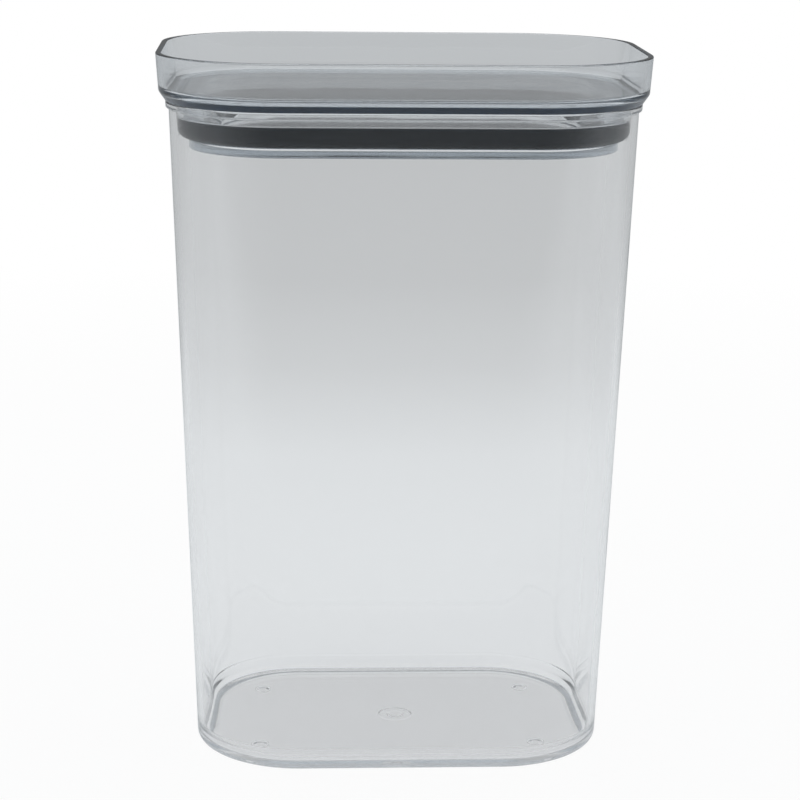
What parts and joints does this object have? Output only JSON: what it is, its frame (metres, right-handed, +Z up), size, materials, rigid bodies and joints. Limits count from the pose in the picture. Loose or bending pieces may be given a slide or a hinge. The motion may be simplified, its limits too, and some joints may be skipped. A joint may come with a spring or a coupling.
{
  "type": "airtight storage container",
  "caption": "Tall clear rounded-rectangle food container with a tapered tub, a lift-off lid shaped as an open stacking tray, and a dark soft seal ring under the lid.",
  "frame": {"origin": "centre of the container's footprint, on the surface that its feet stand on", "axes": "+Z up towards the lid, -Y out of the broad front, +X along the broad side to the right"},
  "size_m": [0.163, 0.1206, 0.24],
  "materials": {
    "clear_tub": "clear polished moulded plastic with a faint grey tint",
    "clear_lid": "clear polished moulded plastic with a faint grey tint",
    "seal_rubber": "satin dark grey silicone"
  },
  "bodies": {
    "container": {"container_body": "clear_tub"},
    "lid": {"lid_tray": "clear_lid", "lid_plug": "clear_lid", "seal_ring": "seal_rubber"}
  },
  "joints": [
    {"name": "lid_lift", "type": "slide", "parent": "container", "child": "lid", "axis": [0, 0, 1], "range_m": [0, 0.1]}
  ]
}
